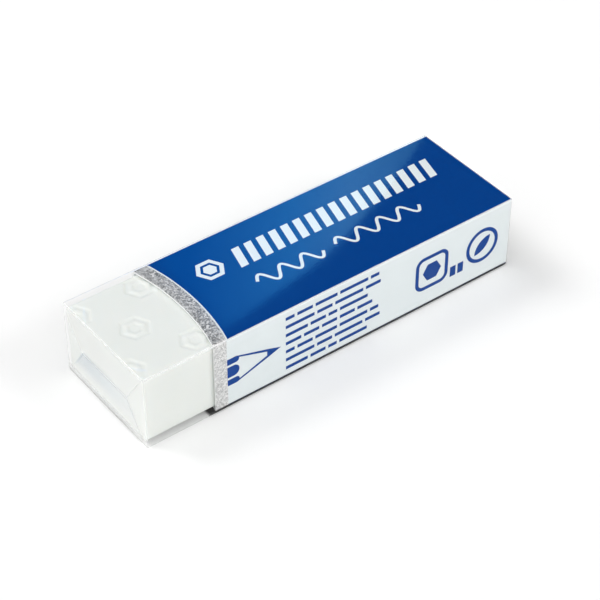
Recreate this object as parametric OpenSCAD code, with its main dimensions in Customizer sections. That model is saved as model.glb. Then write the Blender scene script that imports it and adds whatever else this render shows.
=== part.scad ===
// Wrapped block eraser: a white eraser block in a printed card sleeve, sealed in clear film.
// The bare end of the block points to -X and the underside rests on z = 0. Sizes are in millimetres.

/* [Eraser block] */
// Length of the block
block_l = 64.3; // [58:0.1:80]
// Width of the block
block_w = 18.8; // [16:0.1:26]
// Height of the block
block_h = 11.1; // [10:0.1:16]
// Rounding of the four long edges of the block
block_edge_r = 0.4; // [0.1:0.05:1]

/* [Pressed pattern on the block] */
// Depth to which the pattern is pressed in
press_depth = 0.12; // [0.05:0.01:0.3]
// Corner radius of one six-sided figure
press_r = 2.4; // [1.5:0.1:3]
// Width of the pressed ring of a figure
press_ring_w = 0.7; // [0.4:0.05:1.1]
// Corner radius of the pressed middle of a figure
press_pad_r = 1; // [0.4:0.05:1.5]
// Distance between figures of one row, along the block
press_pitch = 10.4; // [9:0.1:14]
// Distance of the two outer rows from the middle row
press_row_y = 6.8; // [5:0.1:7]

/* [Card sleeve] */
// Thickness of the card
card_t = 0.3; // [0.2:0.05:0.5]
// Outer radius of the four folds
fold_r = 0.45; // [0.35:0.05:0.8]
// Length of the block that the sleeve leaves bare
bare_l = 11.2; // [8:0.1:14]
// Depth of the arch in the front edges of the upper and lower panels
arch_rise = 1.3; // [0.5:0.1:3]
// Play between the block and each side panel
side_gap = 0.15; // [0.1:0.05:0.4]
// Play between the block and the upper panel
top_gap = 0.12; // [0.05:0.01:0.3]
// Width of the glued flap inside the lower panel
glue_flap_w = 15; // [10:0.5:16]
// Distance of the flap from the ends of the sleeve
glue_flap_inset = 3; // [1:0.5:6]

/* [Print] */
// Thickness of the printed layer
ink_t = 0.03; // [0.02:0.01:0.04]
// Width of the silver band along the front edge
band_w = 2.1; // [1:0.1:4]
// Width of the bare line between the silver band and the blue field
bare_line_w = 0.25; // [0.1:0.05:0.6]

/* [Figures in the upper field] */
// Distance from the sleeve's front edge to the middle of the six-sided figure
badge_x = 8.8; // [8:0.1:10]
// Distance of that figure from the centre line
badge_y = 3.5; // [2:0.1:5]
// Corner radius of that figure
badge_r = 2.3; // [1.5:0.1:3]
// Width of its ring
badge_ring_w = 0.75; // [0.4:0.05:1]
// Corner radius of its middle
badge_pad_r = 1.1; // [0.5:0.05:1.2]
// Distance from the sleeve's front edge to the first stroke
strokes_x = 12.6; // [12:0.1:16]
// Distance of the middle of the strokes from the centre line
strokes_y = 3.3; // [2:0.1:5]
// Height of a stroke
stroke_h = 4.2; // [2:0.1:5]
// Width of a stroke
stroke_w = 1.3; // [0.5:0.05:1.5]
// Distance from one stroke to the next
stroke_pitch = 2.15; // [1.8:0.05:3]
// Lean of a stroke over its whole height
stroke_lean = 1.1; // [0:0.1:2]
// Bare length between the last stroke and the back edge
strokes_end = 3.6; // [2:0.1:8]
// Distance of the wavy line from the centre line, on the other side
wave_y = 2.6; // [2:0.1:4]
// Height of a wave from the line's middle
wave_amp = 1.2; // [0.4:0.05:1.2]
// Length of one wave
wave_pitch = 3.8; // [3.5:0.1:4.5]
// Thickness of the wavy line
wave_t = 0.5; // [0.3:0.05:0.5]
// Number of waves in the first stretch
wave_count = 3; // [2:1:4]
// Gap between the two stretches
wave_gap = 2.3; // [1:0.1:4]
// Bare length between the second stretch and the back edge
wave_end = 10.8; // [6:0.1:16]

/* [Figures on the side panel] */
// Height of the pencil figure
pencil_h = 4.8; // [3:0.1:7]
// Length of the pencil figure
pencil_l = 9; // [7:0.1:10]
// Length of its painted part
pencil_paint_l = 2; // [1:0.1:3]
// Length of its solid tip
pencil_tip_l = 2.3; // [1:0.1:3]
// Half the height of each of its outer painted faces
pencil_face_r = 0.52; // [0.3:0.02:0.7]
// Thickness of its outlines, and the gap between its painted faces
pencil_line = 0.42; // [0.3:0.02:0.6]
// Distance from the sleeve's front edge to the small bars
bars_x = 12; // [12:0.1:14]
// Height of a small bar
bar_h = 0.54; // [0.2:0.02:0.8]
// Distance from one row of small bars to the next
bar_pitch = 1.5; // [1.2:0.1:2]
// Length of the shortest small bar
bar_min_l = 1.5; // [1:0.1:2.5]
// Step between the four lengths of bar
bar_step_l = 1.15; // [0.5:0.05:1.5]
// Gap between two bars of a row
bar_gap = 0.5; // [0.3:0.05:1]
// Bare height above and below the rows of bars
bars_margin = 1.2; // [0.5:0.1:2]
// Bare length between the rows of bars and the framed figure
bars_end = 6.1; // [3:0.1:8]
// Outer size of the framed figure and of the round one
mark_d = 6.1; // [4:0.1:7]
// Thickness of the lines of those two figures
mark_line = 0.6; // [0.3:0.05:0.9]
// Corner radius of the framed figure
mark_corner_r = 1.5; // [1:0.1:2]
// Corner radius of the six-sided middle of the framed figure
mark_pad_r = 1.7; // [1:0.1:1.8]
// Length of the leaf in the round figure
leaf_l = 4; // [2:0.1:4.2]
// Distance from the back edge to the middle of the round figure
round_mark_end = 5.2; // [5:0.1:7]
// Distance between the middles of the two figures
mark_pitch = 9.6; // [9:0.05:11]
// Height of the two small blocks between them
pair_h = 1.8; // [1:0.1:3]
// Gap between the two small blocks
pair_gap = 0.4; // [0.2:0.05:0.6]
// Gap between the small blocks and the figures beside them
pair_clear = 0.5; // [0.3:0.05:0.6]

/* [Film] */
// Thickness of the film
film_t = 0.08; // [0.05:0.01:0.12]
// Play between the card and the film
film_gap = 0.07; // [0.05:0.01:0.15]
// Play between the ends of the block and the film
end_gap = 0.11; // [0.05:0.01:0.5]
// Depth of the upper and lower end flaps
flap_depth = 6.2; // [6:0.1:7.5]
// Narrowing of an end flap on each side, for each millimetre of its depth
flap_taper = 0.66; // [0.5:0.02:1]
// Width of the lengthwise lap in the underside
lap_w = 7; // [4:0.5:10]

/* [Hidden] */

$fn = 48;
arch_fn = 180;
hexagon = 6;
overcut = 1;
half = 0.5;
quarter_turn = 90;
wave_steps = 16;
bar_lengths = 4;

ends_stack = 3 * film_t;

inner_w = block_w + 2 * side_gap;
inner_h = card_t + block_h + top_gap;
sleeve_w = inner_w + 2 * card_t;
sleeve_h = inner_h + 2 * card_t;
sleeve_z = 2 * film_t + film_gap;
sleeve_top = sleeve_z + sleeve_h;
block_z = sleeve_z + 2 * card_t;

sleeve_back = block_l * half;
sleeve_front = bare_l - block_l * half;
sleeve_l = sleeve_back - sleeve_front;
sleeve_side = -sleeve_w * half;
sleeve_mid_z = sleeve_z + sleeve_h * half;
arch_r = (pow(sleeve_w * half, 2) + pow(arch_rise, 2)) / (2 * arch_rise);
field_front = sleeve_front + band_w + bare_line_w;
wrap_y = sleeve_w * half - fold_r * (1 - cos(quarter_turn * half));

film_l = block_l + 2 * (end_gap + ends_stack);
film_w = sleeve_w + 2 * (film_gap + film_t);
film_h = sleeve_top + film_gap + film_t;
film_r = fold_r + film_gap + film_t;
film_end_r = end_gap + film_t;

// A rectangle with round corners, centred
module round_rect(w, h, r) {
    square([w - 2 * r, h], center = true);
    square([w, h - 2 * r], center = true);
    for (x = [r - w * half, w * half - r])
        for (y = [r - h * half, h * half - r])
            translate([x, y]) circle(r);
}

// An outline given as width and height, run from one X to another round a height z
module along_x(x0, x1, z) {
    translate([x0, 0, z])
        rotate([quarter_turn, 0, quarter_turn])
            linear_extrude(x1 - x0) children();
}

// A six-sided ring with a six-sided middle
module ringed_hexagon(r, ring_w, pad_r) {
    difference() {
        circle(r, $fn = hexagon);
        circle(r - ring_w, $fn = hexagon);
    }
    circle(pad_r, $fn = hexagon);
}

// The upright round form that cuts an arched front edge, for a side panel that starts at x
module arch_form(x) {
    translate([x + arch_rise - arch_r, 0, -overcut])
        cylinder(h = film_h + 2 * overcut, r = arch_r, $fn = arch_fn);
}

// The pattern pressed into the block, in rows set half a pitch apart
module pressed_pattern() {
    columns = floor(2 * block_l / press_pitch);
    for (i = [0 : columns])
        for (y = i % 2 == 0 ? [-press_row_y, press_row_y] : [0])
            translate([i * press_pitch * half - block_l * half, y])
                ringed_hexagon(press_r, press_ring_w, press_pad_r);
}

// One moulded and cut block
module eraser_block() {
    color("#F1F3EE")
        difference() {
            along_x(-block_l * half, block_l * half, block_z + block_h * half)
                round_rect(block_w, block_h, block_edge_r);
            translate([0, 0, block_z + block_h - press_depth])
                linear_extrude(press_depth + overcut) pressed_pattern();
        }
}

// One sheet of card folded round the block, its flap glued inside the lower panel
module card_sleeve() {
    color("#F7F8F6")
        difference() {
            union() {
                along_x(sleeve_front - overcut, sleeve_back, sleeve_mid_z)
                    difference() {
                        round_rect(sleeve_w, sleeve_h, fold_r);
                        square([inner_w, inner_h], center = true);
                    }
                translate([sleeve_front + glue_flap_inset, -inner_w * half, sleeve_z + card_t])
                    cube([sleeve_l - 2 * glue_flap_inset, glue_flap_w, card_t]);
            }
            arch_form(sleeve_front);
        }
}

// A printed layer on the outside of the sleeve, from one X to another
module ink_layer(x0, x1) {
    along_x(x0, x1, sleeve_mid_z)
        difference() {
            round_rect(sleeve_w + 2 * ink_t, sleeve_h + 2 * ink_t, fold_r + ink_t);
            round_rect(sleeve_w, sleeve_h, fold_r);
        }
}

// The silver print round the front edge of all four panels
module silver_band() {
    color("#A4A7A6")
        intersection() {
            difference() {
                ink_layer(sleeve_front - overcut, field_front + arch_rise);
                arch_form(sleeve_front);
            }
            arch_form(sleeve_front + band_w);
        }
}

// The blue print of one wide panel, from fold to fold, where side is 1 for upper and -1 for lower
module blue_field(side) {
    zone_z = side > 0 ? sleeve_mid_z : sleeve_z - overcut;
    difference() {
        intersection() {
            ink_layer(sleeve_front, sleeve_back);
            translate([sleeve_front - overcut, -wrap_y, zone_z])
                cube([sleeve_l + 2 * overcut, 2 * wrap_y, sleeve_h * half + overcut]);
        }
        arch_form(field_front);
    }
}

// A row of leaning strokes, as many as fit the length
module stroke_row(length) {
    count = floor((length - stroke_w - stroke_lean) / stroke_pitch);
    for (i = [0 : count])
        translate([i * stroke_pitch, 0])
            polygon([
                [0, -stroke_h * half],
                [stroke_w, -stroke_h * half],
                [stroke_w + stroke_lean, stroke_h * half],
                [stroke_lean, stroke_h * half]
            ]);
}

// A point beside a wavy line at distance x, where side is 1 above and -1 below
function wave_point(x, side) =
    let (
        phase = 360 * x / wave_pitch,
        slope = wave_amp * 2 * PI / wave_pitch * cos(phase),
        reach = side * wave_t * half / sqrt(1 + slope * slope)
    )
    [x - reach * slope, wave_amp * sin(phase) + reach];

// A stretch of wavy line made of whole waves
module wavy_line(waves) {
    last = waves * wave_steps;
    step = wave_pitch / wave_steps;
    polygon(concat(
        [for (i = [0 : last]) wave_point(i * step, 1)],
        [for (i = [last : -1 : 0]) wave_point(i * step, -1)]
    ));
}

// What the upper blue field leaves white
module bare_figures() {
    first_l = wave_count * wave_pitch;
    second_l = sleeve_l - strokes_x - first_l - wave_gap - wave_end;
    translate([badge_x, badge_y]) ringed_hexagon(badge_r, badge_ring_w, badge_pad_r);
    translate([strokes_x, strokes_y]) stroke_row(sleeve_l - strokes_x - strokes_end);
    translate([strokes_x, -wave_y]) wavy_line(wave_count);
    translate([strokes_x + first_l + wave_gap, -wave_y]) wavy_line(floor(second_l / wave_pitch));
}

// The blue print of the upper panel, with its figures left white
module blue_field_top() {
    color("#00479B")
        difference() {
            blue_field(1);
            translate([sleeve_front, 0, sleeve_top - overcut])
                linear_extrude(2 * overcut) bare_figures();
        }
}

// The plain blue print of the lower panel
module blue_field_base() {
    color("#00479B") blue_field(-1);
}

// A pencil point: three painted faces with round ends, two outlines and a solid tip
module pencil_figure() {
    edge_y = pencil_h * half;
    tip_x = pencil_l - pencil_tip_l;
    tip_y = edge_y * pencil_tip_l / (pencil_l - pencil_paint_l);
    middle_r = edge_y - 2 * pencil_face_r - pencil_line;
    painted_face(middle_r, 0);
    for (side = [0, 1])
        mirror([0, side]) {
            painted_face(pencil_face_r, edge_y - pencil_face_r);
            polygon([
                [pencil_paint_l - pencil_face_r, edge_y],
                [pencil_paint_l, edge_y - pencil_line],
                [tip_x, tip_y - pencil_line],
                [tip_x, tip_y]
            ]);
        }
    polygon([[tip_x, tip_y], [pencil_l, 0], [tip_x, -tip_y]]);
}

// One painted face of the pencil, as tall as twice r, with its middle at y
module painted_face(r, y) {
    translate([0, y])
        intersection() {
            translate([0, -r]) square([pencil_paint_l, 2 * r]);
            union() {
                translate([-r, -r]) square([pencil_paint_l, 2 * r]);
                translate([pencil_paint_l - r, 0]) circle(r);
            }
        }
}

// Length of a small bar, which changes from bar to bar by rule
function bar_l(row, n) = bar_min_l + bar_step_l * ((3 * row + 5 * n + row * n) % bar_lengths);

// Start of a small bar in its row
function bar_start(row, n) = n == 0 ? 0 : bar_start(row, n - 1) + bar_l(row, n - 1) + bar_gap;

// Rows of small bars, as many as fit the width and the height
module small_bars(width, height) {
    rows = floor((height - bar_h) / bar_pitch);
    per_row = ceil(width / (bar_min_l + bar_gap));
    for (row = [0 : rows])
        for (n = [0 : per_row])
            if (bar_start(row, n) + bar_l(row, n) <= width)
                translate([bar_start(row, n), (rows * half - row) * bar_pitch - bar_h * half])
                    square([bar_l(row, n), bar_h]);
}

// A round-cornered frame with a six-sided middle
module framed_mark() {
    difference() {
        round_rect(mark_d, mark_d, mark_corner_r);
        round_rect(mark_d - 2 * mark_line, mark_d - 2 * mark_line, mark_corner_r - mark_line);
    }
    circle(mark_pad_r, $fn = hexagon);
}

// A ring with a plain leaf in it
module round_mark() {
    leaf_mid = leaf_l * half * sqrt(half);
    difference() {
        circle(mark_d * half);
        circle(mark_d * half - mark_line);
    }
    intersection() {
        translate([-leaf_mid, leaf_mid]) circle(2 * leaf_mid);
        translate([leaf_mid, -leaf_mid]) circle(2 * leaf_mid);
    }
}

// Two small blocks that fill the gap between the framed and the round figure, level with their feet
module block_pair() {
    pair_w = (mark_pitch - mark_d - 2 * pair_clear - pair_gap) * half;
    for (x = [-pair_gap * half - pair_w, pair_gap * half])
        translate([x, -mark_d * half]) square([pair_w, pair_h]);
}

// The blue print of the side panel
module blue_figures_side() {
    round_x = sleeve_l - round_mark_end;
    framed_x = round_x - mark_pitch;
    bars_w = framed_x - mark_d * half - bars_end - bars_x;
    color("#0B4DA2")
        translate([sleeve_front, sleeve_side, sleeve_mid_z])
            rotate([quarter_turn, 0, 0])
                linear_extrude(ink_t) {
                    translate([band_w, 0]) pencil_figure();
                    translate([bars_x, 0]) small_bars(bars_w, sleeve_h - 2 * bars_margin);
                    translate([framed_x, 0]) framed_mark();
                    translate([round_x, 0]) round_mark();
                    translate([(framed_x + round_x) * half, 0]) block_pair();
                }
}

// One end flap in the end plane: the film's full width at its fold, narrower at its free edge
module end_flap() {
    fold_w = film_w * half - film_r;
    free_w = fold_w - flap_depth * flap_taper;
    polygon([[-fold_w, 0], [fold_w, 0], [free_w, -flap_depth], [-free_w, -flap_depth]]);
}

// The folded plies welded to an end wall whose outside is at x: the lower flap, and the upper one over it
module end_plies(x) {
    weld_x = x - film_t * half;
    along_x(weld_x, x + film_t, film_r) mirror([0, 1]) end_flap();
    along_x(weld_x, x + 2 * film_t, film_h - film_r) end_flap();
}

// The film's form at an inset from its outside: round along the sleeve's folds and round the ends
module film_form(inset) {
    l = film_l - 4 * film_t - 2 * inset;
    w = film_w - 2 * inset;
    h = film_h - 2 * inset;
    intersection() {
        along_x(-l * half, l * half, film_h * half) round_rect(w, h, film_r - inset);
        translate([0, 0, inset]) linear_extrude(h) round_rect(l, w, film_end_r - inset);
        translate([0, w * half, film_h * half])
            rotate([quarter_turn, 0, 0])
                linear_extrude(w) round_rect(l, h, film_end_r - inset);
    }
}

// One sheet of film round the sleeve, lapped underneath and folded shut at both ends
module film_wrap() {
    color([0.9, 0.95, 1, 0.3])
        difference() {
            union() {
                film_form(0);
                for (side = [0, 1])
                    mirror([side, 0, 0]) end_plies(film_l * half - 2 * film_t);
            }
            difference() {
                film_form(film_t);
                translate([-film_l * half, -lap_w * half, 0])
                    cube([film_l, lap_w, 2 * film_t]);
            }
        }
}

eraser_block();
card_sleeve();
silver_band();
blue_field_top();
blue_field_base();
blue_figures_side();
film_wrap();
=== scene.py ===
"""Wrapped block eraser: a finish for every piece, the film with its folds, and a plain white studio.

All sizes are in metres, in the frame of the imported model: +X runs along the block from its bare end,
+Y away from the side with the printed figures, and the pack rests on z = 0.
"""

import logging
import math
from dataclasses import dataclass, field, replace
from enum import Enum

import bmesh
import bpy
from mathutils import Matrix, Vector, noise


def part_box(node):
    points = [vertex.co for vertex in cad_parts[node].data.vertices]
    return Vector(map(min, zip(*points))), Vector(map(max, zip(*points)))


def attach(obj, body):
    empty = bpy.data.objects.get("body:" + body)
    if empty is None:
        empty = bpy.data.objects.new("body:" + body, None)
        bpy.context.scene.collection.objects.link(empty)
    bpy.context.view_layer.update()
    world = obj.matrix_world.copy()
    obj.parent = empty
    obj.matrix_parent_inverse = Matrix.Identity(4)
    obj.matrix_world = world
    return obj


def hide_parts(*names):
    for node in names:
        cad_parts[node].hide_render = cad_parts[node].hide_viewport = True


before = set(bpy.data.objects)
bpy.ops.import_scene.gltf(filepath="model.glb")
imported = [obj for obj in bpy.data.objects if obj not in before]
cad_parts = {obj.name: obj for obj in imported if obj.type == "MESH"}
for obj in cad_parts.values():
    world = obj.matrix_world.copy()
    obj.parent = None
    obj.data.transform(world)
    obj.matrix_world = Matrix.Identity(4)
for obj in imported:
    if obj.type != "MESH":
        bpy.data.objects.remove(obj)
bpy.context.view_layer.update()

MM = 0.001
BODY = "root"
IMAGE_SIZE = 600
SENSOR = 36.0
# The mix node has its colour sockets after those for numbers and vectors.
MIX_A, MIX_B, MIX_OUT = 6, 7, 2
# Places closer than this are one place.
WELD = 0.0005 * MM
LOG = logging.getLogger("eraser")

Point = tuple[float, float]
Span = tuple[float, float]
Place = tuple[float, float, float]
# Steps along each wide side, each short side and each corner of a section.
Counts = tuple[int, int, int]
Socket = bpy.types.NodeSocket
Sockets = bpy.types.NodeOutputs
Tree = bpy.types.NodeTree
Mesh = bmesh.types.BMesh


class Tone(Enum):
    """The sRGB colours of the pack and of its sheen, as read off."""

    VINYL = "#F4F7F3"
    VINYL_SHADE = "#EEF2ED"
    CARD = "#F0F7F8"
    CARD_SHADE = "#E9F0F1"
    BLUE = "#00418E"
    BLUE_SHADE = "#003B86"
    SIDE_BLUE = "#00489C"
    SIDE_BLUE_SHADE = "#003F90"
    SILVER = "#F6F6F5"
    SILVER_SHADE = "#BCBCBC"
    WHITE = "#FFFFFF"
    # Painted shade: the film's dark by the floor, under the sleeve and the bare block.
    FILM_SHADE = "#303036"
    # Painted shade: the bluish grey on the bare end's lower flap.
    FLAP_SHADE = "#F5F7FA"
    SHEEN_START = "#0064B0"
    SHEEN_RISE = "#49B3F7"
    SHEEN_PEAK = "#74C6F3"
    SHEEN_END = "#599CB6"


class End(Enum):
    """The two ends of the pack, by the sign of X."""

    FRONT = -1
    BACK = 1


class Panel(Enum):
    """The film's panels, each with the axis across it, its sign, and the two axes along it."""

    TOP = (2, 1, 0, 1)
    BASE = (2, -1, 0, 1)
    NEAR = (1, -1, 0, 2)
    FAR = (1, 1, 0, 2)
    FRONT = (0, -1, 1, 2)
    BACK = (0, 1, 1, 2)


def hex_to_linear(tone: Tone, alpha: float = 1.0) -> tuple[float, float, float, float]:
    """Turns an sRGB colour to linear light.

    Args:
        tone: The colour as a hex value.
        alpha: The fourth value to give back.

    Returns:
        Red, green and blue in linear light, and alpha.
    """
    code = tone.value.lstrip("#")
    parts = (int(code[i:i + 2], 16) / 255 for i in (0, 2, 4))
    red, green, blue = (p / 12.92 if p <= 0.04045 else ((p + 0.055) / 1.055) ** 2.4 for p in parts)
    return red, green, blue, alpha


def add_node(tree: Tree, kind: str, inputs: dict | None = None, **settings: str | bool) -> Sockets:
    """Adds one node with its settings and links.

    Args:
        tree: The tree that gets the node.
        kind: The node's type name, after "ShaderNode".
        inputs: For each input, the output socket that feeds it or the value that it is set to.
        settings: The node's own properties.

    Returns:
        The node's outputs.
    """
    node = tree.nodes.new("ShaderNode" + kind)
    for name, value in settings.items():
        setattr(node, name, value)
    for key, value in (inputs or {}).items():
        if isinstance(value, Socket):
            tree.links.new(value, node.inputs[key])
        else:
            node.inputs[key].default_value = value
    return node.outputs


def smooth(low: float, high: float, value: float) -> float:
    """Rises smoothly from 0 at low to 1 at high, which may be the smaller of the two."""
    t = min(1.0, max(0.0, (value - low) / (high - low)))
    return t * t * (3 - 2 * t)


@dataclass(frozen=True)
class Box:
    """A box in metres."""

    low: Vector
    high: Vector

    @classmethod
    def of(cls, node: str) -> "Box":
        """Reads the box of a node of the frame."""
        low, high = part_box(node)
        return cls(Vector(low), Vector(high))

    @property
    def size(self) -> Vector:
        """Length, width and height."""
        return self.high - self.low

    @property
    def middle(self) -> Vector:
        """The centre of the box."""
        return (self.low + self.high) / 2

    def hold(self, place: Vector) -> Vector:
        """Brings a place to the nearest one in the box."""
        return Vector(min(self.high[i], max(self.low[i], place[i])) for i in range(3))


@dataclass(frozen=True)
class Finish:
    """A finish: a named material whose nodes a subclass adds."""

    name: str

    def surface(self, tree: Tree, place: Socket) -> Socket:
        """Adds the nodes of the finish, with its patterns by place in metres, and gives its shader."""
        raise NotImplementedError

    @staticmethod
    def seen(tree: Tree, rays: Sockets) -> Socket:
        """Adds 1 for a ray by which the eye sees a surface, straight or in a mirror, and else 0."""
        both = {0: rays["Is Camera Ray"], 1: rays["Is Glossy Ray"]}
        return add_node(tree, "Math", both, operation="MAXIMUM")[0]

    def material(self) -> bpy.types.Material:
        """Builds the material.

        Returns:
            A material with this finish, its patterns placed in metres on the object.
        """
        made = bpy.data.materials.new(self.name)
        made.use_nodes = True
        tree = made.node_tree
        tree.nodes.clear()
        shader = self.surface(tree, add_node(tree, "TexCoord")["Object"])
        add_node(tree, "OutputMaterial", {"Surface": shader})
        return made


@dataclass(frozen=True)
class MouldedVinyl(Finish):
    """Soft PVC vinyl, moulded warm and cut by a blade: matt, faintly see-through, finely pored.

    The light that bleeds under its skin makes the block look waxy and its pressed pattern soft.
    """

    roughness: float = 0.5
    ior: float = 1.53
    # The pores of a moulded skin are about 0.1 mm wide. They are drawn as coarse as they need to show.
    pore: float = 0.35 * MM
    pore_depth: float = 0.012 * MM
    cloud: float = 5 * MM
    bleed: float = 0.9 * MM
    bleed_share: float = 0.25
    bleed_by_colour: Place = (1.0, 0.9, 0.8)

    def surface(self, tree: Tree, place: Socket) -> Socket:
        """Adds a pale body with faint clouds and pores.

        Args:
            tree: The material's nodes.
            place: Position on the object in metres.

        Returns:
            The vinyl's shader.
        """
        clouds = add_node(tree, "TexNoise", {"Vector": place, "Scale": 1 / self.cloud})["Fac"]
        pores = add_node(tree, "TexNoise", {"Vector": place, "Scale": 1 / self.pore})["Fac"]
        tones = {MIX_A: hex_to_linear(Tone.VINYL_SHADE), MIX_B: hex_to_linear(Tone.VINYL)}
        return add_node(tree, "BsdfPrincipled", {
            "Base Color": add_node(tree, "Mix", {0: clouds, **tones}, data_type="RGBA")[MIX_OUT],
            "Normal": add_node(tree, "Bump", {"Height": pores, "Distance": self.pore_depth})[0],
            "Roughness": self.roughness,
            "IOR": self.ior,
            "Subsurface Weight": self.bleed_share,
            "Subsurface Radius": self.bleed_by_colour,
            "Subsurface Scale": self.bleed,
        })[0]


@dataclass(frozen=True)
class CoatedCard(Finish):
    """Folding boxboard with a clay coat, calendered smooth: white and satin, with a trace of fibre.

    Its cut edge, each face that looks to the front, is drawn pure white, whiter than bare board: a
    painted highlight that draws a bright line round the sleeve's open front.
    """

    roughness: float = 0.42
    ior: float = 1.5
    # Wood fibres are about 0.03 mm wide. They are drawn ten times as coarse, so that they show.
    fibre: float = 0.3 * MM
    fibre_depth: float = 0.006 * MM
    fibre_detail: float = 4.0
    cloud: float = 3 * MM
    edge_highlight_facing: float = -0.6

    def surface(self, tree: Tree, place: Socket) -> Socket:
        """Adds the white coat with slight clouds, and a painted highlight on the cut edge at the front.

        Args:
            tree: The material's nodes.
            place: Position on the object in metres.

        Returns:
            The card's shader.
        """
        clouds = add_node(tree, "TexNoise", {"Vector": place, "Scale": 1 / self.cloud})["Fac"]
        tones = {MIX_A: hex_to_linear(Tone.CARD_SHADE), MIX_B: hex_to_linear(Tone.CARD)}
        coat = add_node(tree, "Mix", {0: clouds, **tones}, data_type="RGBA")[MIX_OUT]
        # Painted highlight: faces that look to the front are drawn pure white.
        facing = add_node(tree, "SeparateXYZ", {0: add_node(tree, "TexCoord")["Normal"]})["X"]
        cut = add_node(tree, "Math", {0: facing, 1: self.edge_highlight_facing}, operation="LESS_THAN")[0]
        bare = {0: cut, MIX_A: coat, MIX_B: hex_to_linear(Tone.WHITE)}
        threads = {"Vector": place, "Scale": 1 / self.fibre, "Detail": self.fibre_detail}
        fibres = add_node(tree, "TexNoise", threads)["Fac"]
        return add_node(tree, "BsdfPrincipled", {
            "Base Color": add_node(tree, "Mix", bare, data_type="RGBA")[MIX_OUT],
            "Normal": add_node(tree, "Bump", {"Height": fibres, "Distance": self.fibre_depth})[0],
            "Roughness": self.roughness,
            "IOR": self.ior,
        })[0]


@dataclass(frozen=True)
class OffsetInk(Finish):
    """Offset ink in full cover on coated card: even, deep and nearly matt, with the mottle of the press."""

    tone: Tone
    shade: Tone
    roughness: Span = (0.35, 0.45)
    ior: float = 1.45
    shine: float = 0.1
    # Ink that a blanket presses on coated card has clouds about 0.6 mm wide.
    mottle: float = 0.6 * MM
    mottle_detail: float = 3.0

    def surface(self, tree: Tree, place: Socket) -> Socket:
        """Adds the ink, whose mottle varies its depth of colour and its shine a little.

        Args:
            tree: The material's nodes.
            place: Position on the object in metres.

        Returns:
            The ink's shader.
        """
        press = {"Vector": place, "Scale": 1 / self.mottle, "Detail": self.mottle_detail}
        clouds = add_node(tree, "TexNoise", press)["Fac"]
        tones = {MIX_A: hex_to_linear(self.shade), MIX_B: hex_to_linear(self.tone)}
        smoothest, roughest = self.roughness
        satin = {"Value": clouds, "To Min": smoothest, "To Max": roughest}
        return add_node(tree, "BsdfPrincipled", {
            "Base Color": add_node(tree, "Mix", {0: clouds, **tones}, data_type="RGBA")[MIX_OUT],
            "Roughness": add_node(tree, "MapRange", satin)[0],
            "IOR": self.ior,
            "Specular IOR Level": self.shine,
        })[0]


@dataclass(frozen=True)
class SilverInk(Finish):
    """Silver ink pressed through a fabric screen, in grains about one thread of the screen wide.

    A dark grain acts as a metal and a pale one nearly as paint. So the band is grey and grainy from
    above, and paler and more even on the side, where it mirrors the floor.
    """

    roughness: float = 0.34
    metal: Span = (0.9, 0.1)
    # A screen of 55 threads to the centimetre has one every 0.18 mm.
    thread: float = 0.18 * MM
    evenness: float = 0.75
    grain_depth: float = 0.004 * MM

    def surface(self, tree: Tree, place: Socket) -> Socket:
        """Adds the metallic ink as grains that differ in tone.

        Args:
            tree: The material's nodes.
            place: Position on the object in metres.

        Returns:
            The ink's shader.
        """
        screen = {"Vector": place, "Scale": 1 / self.thread, "Randomness": self.evenness}
        grains = add_node(tree, "TexVoronoi", screen)["Color"]
        pale = add_node(tree, "SeparateColor", {0: grains})[0]
        tones = {MIX_A: hex_to_linear(Tone.SILVER_SHADE), MIX_B: hex_to_linear(Tone.SILVER)}
        metal, paint = self.metal
        flakes = {"Value": pale, "To Min": metal, "To Max": paint}
        return add_node(tree, "BsdfPrincipled", {
            "Base Color": add_node(tree, "Mix", {0: pale, **tones}, data_type="RGBA")[MIX_OUT],
            "Normal": add_node(tree, "Bump", {"Height": pale, "Distance": self.grain_depth})[0],
            "Metallic": add_node(tree, "MapRange", flakes)[0],
            "Roughness": self.roughness,
        })[0]


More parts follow.
